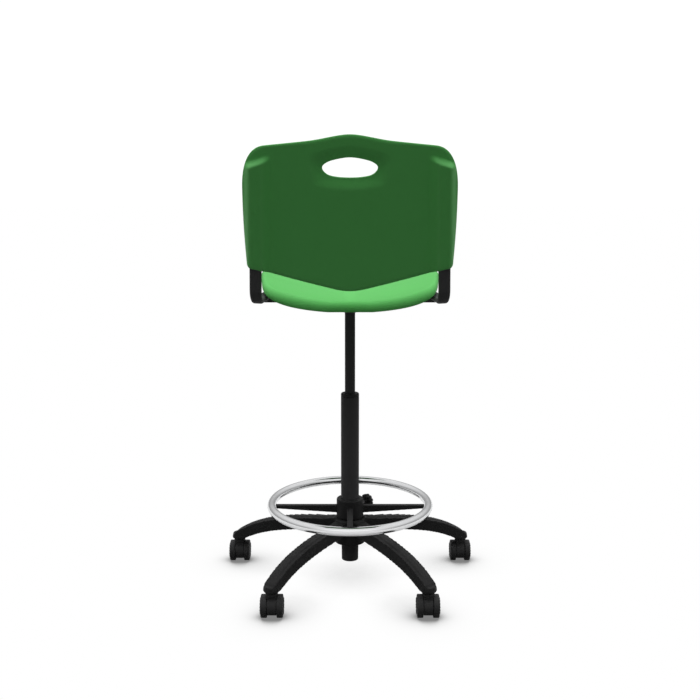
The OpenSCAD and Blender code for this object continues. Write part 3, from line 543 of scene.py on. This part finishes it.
column = turned(
    "column_outer_tube",
    in_mm(
        eased(
            [
                (21.2, COLUMN_FOOT), (COLUMN_TIP_R, COLUMN_FOOT), (COLUMN_R, BASE_TOP),
                (COLUMN_R, COLUMN_TOP - COLLAR_H), (23.0, COLUMN_TOP - COLLAR_H), (23.0, 202.0),
                (21.2, 196.0), (21.2, 55.0), (12.0, 55.0), (12.0, COLUMN_FOOT + 1.0),
            ],
            1.6,
        )
    ),
    128,
)
settle(column, black_enamel, "black_enamel", "base", "column_tube")
collar = turned(
    "column_collar",
    in_mm(
        eased(
            [
                (TUBE_R + 0.05, 438.0), (22.95, 438.0), (22.95, 517.4), (24.4, 518.2), (COLUMN_R, 518.8),
                (COLUMN_R, 525.5), (23.4, COLUMN_TOP), (15.6, COLUMN_TOP), (TUBE_R + 0.05, 526.8),
            ],
            0.8,
        )
    ),
    128,
)
settle(collar, black_nylon, "black_nylon", "base", "guide_bush")
pressure_tube = turned(
    "pressure_tube_enamelled",
    in_mm(
        eased(
            [
                (12.5, 420.0), (TUBE_R, 420.0), (TUBE_R, 787.0), (4.05, 787.0), (4.05, 784.0), (12.5, 784.0),
            ],
            0.8,
        )
    ),
    96,
)
settle(pressure_tube, black_enamel, "black_enamel", "seat", "pressure_tube")
rubber = Finish("rubber", {"Specular IOR Level": 0.2})
rubber_bloom = rubber.cloud(70.0, 4.0)
rubber.feed("Base Color", rubber.blend(rubber_bloom, (0.010, 0.010, 0.010, 1.0), (0.022, 0.021, 0.020, 1.0)))
rubber.feed("Roughness", 0.62 + 0.2 * rubber_bloom)
rubber.feed("Normal", rubber.raise_by(0.0001, rubber.cloud(900.0, 2.0)))
dress(rubber, "rod_bumper", "rod_seal")
dress(bright_steel, "piston_rod", "piston", "bearing_balls", "bearing_race", "bearing_seat")
dress(bright_steel, "rod_clip", "release_button")

# ---------- foot ring ----------
# A moulded hub with four tapering spokes slides on the column and is held by a clamp knob. The
# ring is a bent steel tube, welded, polished and chromium plated, pinned to the spokes' ends.

RING_R, RING_TUBE_R, RING_Z = 218.7 * MM, 12 * MM, 210 * MM
RING_SIDES = 40
KNOB_TURN, KNOB_FACE, KNOB_Z = math.radians(225), 59.5 * MM, 202 * MM
KNOB_LOBES = 10

ring_chrome = Finish("ring_chrome", {"Metallic": 1.0, "Specular IOR Level": 0.5})
chrome_smear = ring_chrome.cloud(22.0, 4.0)
chrome_marks = ring_chrome.cloud(420.0, 2.0, (1.0, 1.0, 6.0)).rising(0.62, 0.72)
chrome_tone = ring_chrome.blend(chrome_smear, (0.80, 0.81, 0.82, 1.0), (0.90, 0.90, 0.91, 1.0))
ring_chrome.feed("Base Color", chrome_tone)
ring_chrome.feed("Roughness", 0.10 + 0.10 * chrome_smear.rising(0.4, 0.8) + 0.06 * chrome_marks)
ring_chrome.feed("Normal", ring_chrome.raise_by(0.00025, ring_chrome.cloud(35.0, 1.0)))

ring_turns = [2 * math.pi * k / RING_SIDES for k in range(RING_SIDES)]
ring_section = [(RING_R + RING_TUBE_R * math.cos(a), RING_Z + RING_TUBE_R * math.sin(a)) for a in ring_turns]
ring = turned("foot_ring_tube", ring_section, 256)
settle(ring, ring_chrome, "ring_chrome", "foot_ring", "foot_ring")
hub = moulded(cad_copy("foot_ring_hub_moulding", "foot_ring_hub"), 1.2 * MM, 3)
settle(hub, black_nylon, "black_nylon", "foot_ring", "foot_ring_hub", crease=60)
knob = turned(
    "clamp_knob_moulding",
    in_mm(
        eased(
            [
                (0, 0), (13, 0), (17.5, 1.0), (20, 3.0), (20, 13.5), (18.2, 16.4), (13.5, 17.0),
                (11.5, 15.8), (0, 15.4),
            ],
            1.8, closed=False,
        )
    ),
    120, closed=False, flutes=KNOB_LOBES, flute_depth=0.14,
)
set_at(
    knob,
    Matrix.Translation((0, 0, KNOB_FACE)),
    Matrix.Rotation(math.pi / 2, 4, "Y"),
    Matrix.Rotation(KNOB_TURN, 4, "Z"),
    Matrix.Translation((0, 0, KNOB_Z)),
)
settle(knob, black_nylon, "black_nylon", "knob", "clamp_knob", crease=50)
dress(black_nylon, "foot_ring_bush")
dress(bright_steel, "ring_pins", "clamp_stud")

# ---------- mechanism ----------
# A pressed steel housing is welded round the taper socket and bolted with its plate to the cross
# bars. A bent lever with a moulded grip turns on a pin and presses the gas lift's button.


def edged(piece, width):
    """Breaks the sharp edges of a piece made of flat faces."""
    shape = bmesh.new()
    shape.from_mesh(piece.data)
    bmesh.ops.dissolve_limit(shape, angle_limit=math.radians(1), verts=shape.verts, edges=shape.edges)
    shape.to_mesh(piece.data)
    shape.free()
    bevel = piece.modifiers.new("edge", "BEVEL")
    bevel.width = width
    bevel.segments = 2
    bevel.limit_method = "ANGLE"
    bevel.angle_limit = math.radians(40)
    return baked(piece)


fastener_steel = Finish("fastener_steel", {"Metallic": 1.0})
zinc_bloom = fastener_steel.cloud(120.0, 4.0)
zinc_tone = fastener_steel.blend(zinc_bloom, (0.22, 0.22, 0.22, 1.0), (0.42, 0.42, 0.40, 1.0))
fastener_steel.feed("Base Color", zinc_tone)
fastener_steel.feed("Roughness", 0.32 + 0.18 * zinc_bloom)
fastener_steel.feed("Normal", fastener_steel.raise_by(0.00005, fastener_steel.cloud(1200.0, 2.0)))

housing = edged(cad_copy("mechanism_housing_pressing", "mechanism_housing"), 0.6 * MM)
settle(housing, black_enamel, "black_enamel", "seat", "mechanism_housing", crease=30)
plate = edged(cad_copy("mechanism_plate_pressing", "mechanism_plate"), 0.5 * MM)
settle(plate, black_enamel, "black_enamel", "seat", "mechanism_plate", crease=30)
grip = moulded(cad_copy("lever_grip_moulding", "lever_grip"), 0.8 * MM, 4)
settle(grip, black_nylon, "black_nylon", "lever", "lever_grip", crease=60)
dress(black_enamel, "taper_socket", "release_lever")
dress(fastener_steel, "mechanism_bolts", "lever_pivot_pin")

# ---------- frame ----------
# Two flat oval steel tubes run back under the seat and bend up into the posts that carry the
# back. Two box-section cross bars are welded beneath them, and plastic caps close the tubes.

FRAME_W, FRAME_T, FRAME_X, FRAME_Y = 30.0, 15.0, 233.5, 219.0
RAIL_Z, RAIL_L, POST_H, BEND_R = 806.5, 384.0, 332.0, 38.0
LEAN, SPLAY, TILT = math.radians(8), math.radians(6), math.radians(2.4)
BEND_TURN = math.pi / 2 - LEAN
BEND_RUN = BEND_R * math.tan(BEND_TURN / 2)
BEND_STEPS, OVAL_STEPS = 40, 16


def tube_frame(side):
    """Frame of one tube: origin at the corner of its bend, tilted inwards."""
    place = Matrix.Translation((FRAME_X, FRAME_Y, RAIL_Z))
    place = place @ Matrix.Rotation(-SPLAY, 4, "Z") @ Matrix.Rotation(-TILT, 4, "Y")
    return Matrix.Diagonal((side, 1, 1, 1)) @ place


def oval(width, thick):
    flat = (width - thick) / 2
    half = [
        (flat + thick / 2 * math.cos(a), thick / 2 * math.sin(a))
        for a in (-math.pi / 2 + math.pi * k / OVAL_STEPS for k in range(OVAL_STEPS + 1))
    ]
    return half + [(-x, -y) for x, y in half]


def bent_tube(name, side):
    shape = bmesh.new()
    rows = []
    for k in range(BEND_STEPS + 5):
        bend = BEND_TURN * (k - 2) / BEND_STEPS
        row = []
        for x, out in oval(FRAME_W, FRAME_T):
            if k < 2:
                point = (x, -RAIL_L + k * 150.0, -out)
            elif k > BEND_STEPS + 2:
                high = 190.0 if k == BEND_STEPS + 3 else POST_H
                point = (
                    x,
                    high * math.sin(LEAN) + out * math.cos(LEAN),
                    high * math.cos(LEAN) - out * math.sin(LEAN),
                )
            else:
                point = (
                    x,
                    (BEND_R + out) * math.sin(bend) - BEND_RUN,
                    BEND_R - (BEND_R + out) * math.cos(bend),
                )
            row.append(shape.verts.new(tube_frame(side) @ Vector(point) * MM))
        rows.append(row)
    count = len(rows[0])
    for near, far in zip(rows, rows[1:]):
        for j in range(count):
            shape.faces.new((near[j], near[(j + 1) % count], far[(j + 1) % count], far[j]))
    shape.faces.new(rows[0])
    shape.faces.new(rows[-1])
    bmesh.ops.recalc_face_normals(shape, faces=shape.faces)
    mesh = bpy.data.meshes.new(name)
    shape.to_mesh(mesh)
    shape.free()
    return placed(name, mesh)


for side, word in ((1, "left"), (-1, "right")):
    tube = bent_tube(f"{word}_frame_tube_enamelled", side)
    settle(tube, black_enamel, "black_enamel", "seat", f"{word}_frame_tube")
for bar in ("front_cross_bar", "rear_cross_bar"):
    box = edged(cad_copy(f"{bar}_enamelled", bar), 0.8 * MM)
    settle(box, black_enamel, "black_enamel", "seat", bar, crease=30)
dress(black_nylon, "frame_end_caps")

# ---------- seat ----------
# A one-piece polypropylene shell with a rolled rim. Its middle is dished for the sitter, and
# four bosses under it take the screws from the cross bars.

SEAT_A, SEAT_B, SEAT_REAR, SEAT_TAPER = 240.0, 232.5, 215.0, 23.0
SEAT_MID_Y, SEAT_Z, SEAT_WALL = SEAT_REAR - SEAT_B, 806.0, 4.5
RIM_SIDE, RIM_END, RIM_STEPS, RIM_FOOT, SECTORS = 9.0, 19.0, 12, 1.6, 360
SKIRT_SIDE, SKIRT_END = 13.0, 12.0
DISH, DISH_POWER = 46.0, 2.1
BOSS_X, BOSS_Y, BOSS_R, BOSS_FOOT = 150, 80, 9.0, 799.2

PLASTIC = (0.108, 0.505, 0.112, 1.0)
PLASTIC_PALE = (0.140, 0.565, 0.144, 1.0)


def green_plastic(name, gloss):
    """Dyed polypropylene: a fine moulded grain, faint flow marks and paler rubbed edges."""
    finish = Finish(name, {"Specular IOR Level": gloss, "IOR": 1.49})
    flow = finish.cloud(6.0, 3.0)
    speck = finish.cloud(700.0, 2.0).rising(0.60, 0.75)
    rub = finish.cloud(55.0, 5.0, (1.0, 2.5, 1.0)).rising(0.58, 0.80)
    tone = finish.blend(0.35 * flow + 0.12 * speck, PLASTIC, PLASTIC_PALE)
    finish.feed("Base Color", finish.blend(finish.worn * 0.30 + rub * 0.06, tone, (0.24, 0.66, 0.24, 1.0)))
    finish.feed("Roughness", 0.40 + 0.10 * flow + 0.08 * rub)
    grain = finish.raise_by(0.00009, finish.pebble(1300.0))
    finish.feed("Normal", finish.raise_by(0.00035, finish.cloud(40.0, 2.0), grain))
    return finish


seat_plastic = green_plastic("seat_plastic", 0.05)


def seat_xy(angle, share):
    square = 7 if math.sin(angle) > 0 else 5
    c, s = math.cos(angle), math.sin(angle)
    ex = math.copysign(abs(c) ** (2 / square), c) * share
    ey = math.copysign(abs(s) ** (2 / square), s) * share
    return (SEAT_A - SEAT_TAPER * ey) * ex, SEAT_MID_Y + SEAT_B * ey - 10 * max(0.0, ey) * ex * ex


def seat_top(x, y):
    wide = min(1.0, abs(x) / SEAT_A)
    rear, front = max(0.0, (y - SEAT_MID_Y) / SEAT_B), max(0.0, (SEAT_MID_Y - y) / SEAT_B)
    return SEAT_Z + DISH * wide**DISH_POWER - 3 * rear**2 - 7 * front**4 * (1 - wide**2)


def seat_section(angle):
    """Points of the shell from near its middle, over the rim and back under, in one direction."""
    ends = abs(math.sin(angle)) ** (8 / (7 if math.sin(angle) > 0 else 5))
    skirt = SKIRT_SIDE + SKIRT_END * ends
    roll, drop = RIM_SIDE + RIM_END * ends, skirt - RIM_FOOT
    rolled = 1 - roll / SEAT_B
    rim_z = seat_top(*seat_xy(angle, rolled))
    foot = rim_z - skirt
    section = []
    for share in [0.03 + (rolled - 0.03) * (k / 34) for k in range(34)]:
        x, y = seat_xy(angle, share)
        section.append((x, y, seat_top(x, y)))
    for k in range(RIM_STEPS + 1):
        a = math.pi / 2 * k / RIM_STEPS
        x, y = seat_xy(angle, rolled + roll / SEAT_B * math.sin(a))
        section.append((x, y, rim_z - drop * (1 - math.cos(a))))
    lip = [(0, 1.4), (0.4, 0.4), (1.4, 0)]
    for out, up in lip + [(SEAT_WALL - out, up) for out, up in reversed(lip)]:
        x, y = seat_xy(angle, 1 - out / SEAT_B)
        section.append((x, y, foot + up))
    for k in range(RIM_STEPS // 2, -1, -1):
        a = math.pi * k / RIM_STEPS
        x, y = seat_xy(angle, rolled + (roll - SEAT_WALL) / SEAT_B * math.sin(a))
        section.append((x, y, rim_z - SEAT_WALL - (drop - SEAT_WALL) * (1 - math.cos(a))))
    for share in [rolled - 0.02 - (rolled - 0.05) * (k / 20) for k in range(21)]:
        x, y = seat_xy(angle, share)
        section.append((x, y, seat_top(x, y) - SEAT_WALL))
    return section


seat_shape = bmesh.new()
seat_rows = []
for k in range(SECTORS):
    angle = 2 * math.pi * (k + 0.5) / SECTORS
    seat_rows.append([seat_shape.verts.new(Vector(p) * MM) for p in seat_section(angle)])
crown_top = seat_shape.verts.new(Vector((0, SEAT_MID_Y, seat_top(0, SEAT_MID_Y))) * MM)
crown_low = seat_shape.verts.new(Vector((0, SEAT_MID_Y, seat_top(0, SEAT_MID_Y) - SEAT_WALL)) * MM)
for k in range(SECTORS):
    near, far = seat_rows[k], seat_rows[(k + 1) % SECTORS]
    seat_shape.faces.new((crown_top, near[0], far[0]))
    seat_shape.faces.new((crown_low, far[-1], near[-1]))
    for a, b, c, d in zip(near, near[1:], far[1:], far):
        seat_shape.faces.new((a, b, c, d))
bmesh.ops.recalc_face_normals(seat_shape, faces=seat_shape.faces)
seat_mesh = bpy.data.meshes.new("seat_skin")
seat_shape.to_mesh(seat_mesh)
seat_shape.free()
seat_parts = [placed("seat_skin", seat_mesh)]
boss_top = seat_top(BOSS_X, BOSS_Y) - SEAT_WALL / 2
boss_outline = [(2.2, BOSS_FOOT), (BOSS_R - 0.8, BOSS_FOOT), (BOSS_R, boss_top), (2.2, boss_top)]
for x in (-BOSS_X, BOSS_X):
    for y in (-BOSS_Y, BOSS_Y):
        boss = turned("boss", in_mm(eased(boss_outline, 0.8)), 48)
        set_at(boss, Matrix.Translation((x * MM, y * MM, 0)))
        seat_parts.append(boss)
seat = joined("seat_shell_moulding", seat_parts)
settle(seat, seat_plastic, "seat_plastic", "seat", "seat_shell", crease=45)
dress(fastener_steel, "seat_screws")

# ---------- back ----------
# A one-piece polypropylene shell, curved across its width. Two blind sleeves at its sides slip
# over the posts, and a hand hole with a dished rim is used to move the chair.

BACK_A, BACK_LOW, BACK_POINT, BACK_H, BACK_WALL, BACK_CURVE = 259.5, 85.0, 54.0, 378.0, 5.0, 1200.0
BACK_TOP = BACK_LOW - BACK_POINT + BACK_H
HOLE_W, HOLE_H, HOLE_Z = 139.0, 48.0, BACK_TOP - 77.5
CORNER_W, CORNER_H, CORNER_SQUARE, EDGE_SLOPE = 60.0, 105.0, 2.5, 0.112
FOOT_CORNER, FOOT_IN, POINT_W = 12.0, 6.0, 36.0
SLEEVE_TOP, SLEEVE_W, SLEEVE_T, SLEEVE_SLOPE = POST_H + 21, 40.0, 21.0, math.radians(18)
DISH_DEPTH, DISH_WIDTH = 7.5, 30.0
ROUND_STEPS, MIDDLE_STEPS = 480, 64

back_plastic = green_plastic("back_plastic", 0.18)


def back_edge(x):
    hump = 6.5 * (0.5 - 0.5 * math.cos(math.pi * min(1.0, x / 107)))
    return BACK_TOP - EDGE_SLOPE * (math.sqrt(x * x + 19 * 19) - 19) - hump


def rounded(points, passes):
    """Cuts the corners off a closed outline, passes times over."""
    for _ in range(passes):
        after = np.roll(points, -1, axis=0)
        points = np.stack([0.75 * points + 0.25 * after, 0.25 * points + 0.75 * after], 1).reshape(-1, 2)
    return points


def back_outline():
    x1 = BACK_A - CORNER_W
    foot_slope = BACK_POINT / (BACK_A - FOOT_CORNER - POINT_W / 2)
    half = [(x1 * i / 24, back_edge(x1 * i / 24)) for i in range(24)]
    for i in range(25):
        a = math.pi / 2 * (1 - i / 24)
        x = x1 + CORNER_W * math.cos(a) ** (2 / CORNER_SQUARE)
        half.append((x, back_edge(x) - CORNER_H * (1 - math.sin(a) ** (2 / CORNER_SQUARE))))
    half += [(BACK_A, BACK_LOW + 150), (BACK_A - 0.9, BACK_LOW + 100), (BACK_A - 3.2, BACK_LOW + 52)]
    half.append((BACK_A - FOOT_IN, BACK_LOW + FOOT_CORNER + 4))
    for i in range(1, 9):
        a = -math.radians(11.25 * i)
        across = BACK_A - FOOT_IN - FOOT_CORNER * (1 - math.cos(a))
        half.append((across, BACK_LOW + FOOT_CORNER * (1 + math.sin(a))))
    for i in range(11):
        x = POINT_W * (1 - i / 10)
        half.append((x, BACK_LOW - BACK_POINT + foot_slope * x * x / 2 / POINT_W))
    return np.array(half + [(-x, z) for x, z in reversed(half[1:-1])])


def hole_outline():
    """Two slopes above, blunt points at the sides and a flat bow below."""
    half = [(0, 0.5), (0.20, 0.415), (0.39, 0.27), (0.5, 0), (0.4, -0.36), (0.22, -0.47), (0, -0.5)]
    points = half + [(-x, z) for x, z in reversed(half[1:-1])]
    return np.array([(HOLE_W * x, HOLE_Z + HOLE_H * z) for x, z in points])


def polar(points):
    """(angle, radius) of an outline about the middle of the hand hole, in rising angle."""
    angles = np.arctan2(points[:, 1] - HOLE_Z, points[:, 0])
    order = np.argsort(angles)
    return angles[order], np.hypot(points[order, 0], points[order, 1] - HOLE_Z)


def radius_at(angle, curve):
    return np.interp(angle, curve[0], curve[1], period=2 * math.pi)


outer_curve = polar(rounded(back_outline(), 3))
hole_curve = polar(rounded(hole_outline(), 3))
fine = np.linspace(-math.pi, math.pi, 7201)
rim = radius_at(fine, outer_curve)
travelled = np.concatenate([[0], np.cumsum(np.hypot(np.diff(rim), rim[1:] * np.diff(fine)))])
ways = np.interp(np.linspace(0, travelled[-1], ROUND_STEPS, endpoint=False), travelled, fine)
outer_r, hole_r = radius_at(ways, outer_curve), radius_at(ways, hole_curve)
step = 0.002


def lean_of(curve, radius):
    """How squarely the outline faces away from the hole's middle: 1 where it faces straight out."""
    change = radius_at(ways + step, curve) - radius_at(ways - step, curve)
    return np.cos(np.arctan(change / (2 * step * radius)))


outer_lean, hole_lean = lean_of(outer_curve, outer_r), lean_of(hole_curve, hole_r)

# An even blend of the two leans keeps the grid's lines from bunching behind the hole's corners
blur = np.hanning(25) / np.hanning(25).sum()
outer_lean, hole_lean = (
    np.convolve(np.concatenate([lean[-12:], lean, lean[:12]]), blur, "valid")
    for lean in (outer_lean, hole_lean)
)

RIM_OFFSETS = [0.0, 0.12, 0.45, 0.95, 1.6, 2.5, 4.0, 6.0, 8.5]
HOLE_OFFSETS = RIM_OFFSETS + [11.5, 15.0, 19.0]
rings = [(hole_r + off / np.maximum(hole_lean, 0.5)) for off in HOLE_OFFSETS]
last_rings = [(outer_r - off / np.maximum(outer_lean, 0.6)) for off in reversed(RIM_OFFSETS)]
for k in range(1, MIDDLE_STEPS):
    share = k / MIDDLE_STEPS
    rings.append(rings[len(HOLE_OFFSETS) - 1] * (1 - share) + last_rings[0] * share)
rings = np.array(rings + last_rings)
back_x = rings * np.cos(ways)
back_s = rings * np.sin(ways) + HOLE_Z
from_hole = (rings - hole_r) * np.maximum(hole_lean, 0.5)
from_rim = (outer_r - rings) * np.maximum(outer_lean, 0.6)

lean_back = Matrix.Translation((0, FRAME_Y, RAIL_Z)) @ Matrix.Rotation(-LEAN, 4, "X")
post_turn = (lean_back.inverted() @ tube_frame(1) @ Matrix.Rotation(-LEAN, 4, "X")).to_3x3()
post_way = post_turn @ Vector((0, 0, 1))
sheet_y = BACK_CURVE - math.sqrt(BACK_CURVE**2 - FRAME_X**2) - FRAME_T / 2 - 0.3
rear = sheet_y - (BACK_CURVE - np.sqrt(BACK_CURVE**2 - back_x**2))
post_x = FRAME_X + back_s * post_way.x / post_way.z
post_y = back_s * post_way.y / post_way.z
across = np.abs(back_x) - post_x
sleeve_cut = SLEEVE_TOP - (across + SLEEVE_W / 2) * math.tan(SLEEVE_SLOPE)
sleeve = (
    smooth(across, -SLEEVE_W / 2 - 20, -SLEEVE_W / 2 + 8)
    * (1 - smooth(across, SLEEVE_W / 2 - 8, SLEEVE_W / 2 + 12))
    * (1 - smooth(back_s - sleeve_cut, -13, 4))
)
rear_bulged = rear + np.maximum(post_y + SLEEVE_T / 2 - rear, 0) * sleeve
dish = DISH_DEPTH * (1 - smooth(from_hole, -2, DISH_WIDTH))
soft_rim = 2.2 * (1 - np.clip(from_rim / 9, 0, 1)) ** 2
front_y = rear - BACK_WALL - dish
rear_y = rear_bulged - dish - soft_rim
edge_gap = np.minimum(from_hole, from_rim)
closing = np.sqrt(1 - (1 - np.clip(edge_gap / 2.5, 0, 1)) ** 2)
middle = (front_y + rear_y) / 2
rear_y = middle + (rear_y - middle) * closing
front_y = middle + (front_y - middle) * closing

turn_y, turn_z = math.cos(LEAN), math.sin(LEAN)
sheets = []
for depth in (rear_y, front_y):
    y = FRAME_Y + depth * turn_y + back_s * turn_z
    z = RAIL_Z - depth * turn_z + back_s * turn_y
    sheets.append(np.stack([back_x, y, z], 2) * MM)
back_shape = bmesh.new()
rear_verts = [[back_shape.verts.new(p) for p in row] for row in sheets[0]]
front_verts = [[back_shape.verts.new(p) for p in row] for row in sheets[1][1:-1]]
front_verts = [rear_verts[0]] + front_verts + [rear_verts[-1]]
for rows in (rear_verts, front_verts):
    for near, far in zip(rows, rows[1:]):
        for k in range(ROUND_STEPS):
            n = (k + 1) % ROUND_STEPS
            back_shape.faces.new((near[k], near[n], far[n], far[k]))
bmesh.ops.recalc_face_normals(back_shape, faces=back_shape.faces)
back_mesh = bpy.data.meshes.new("back_shell_moulding")
back_shape.to_mesh(back_mesh)
back_shape.free()
back = placed("back_shell_moulding", back_mesh)
settle(back, back_plastic, "back_plastic", "seat", "back_shell", crease=60)
dress(back_plastic, "back_screws")
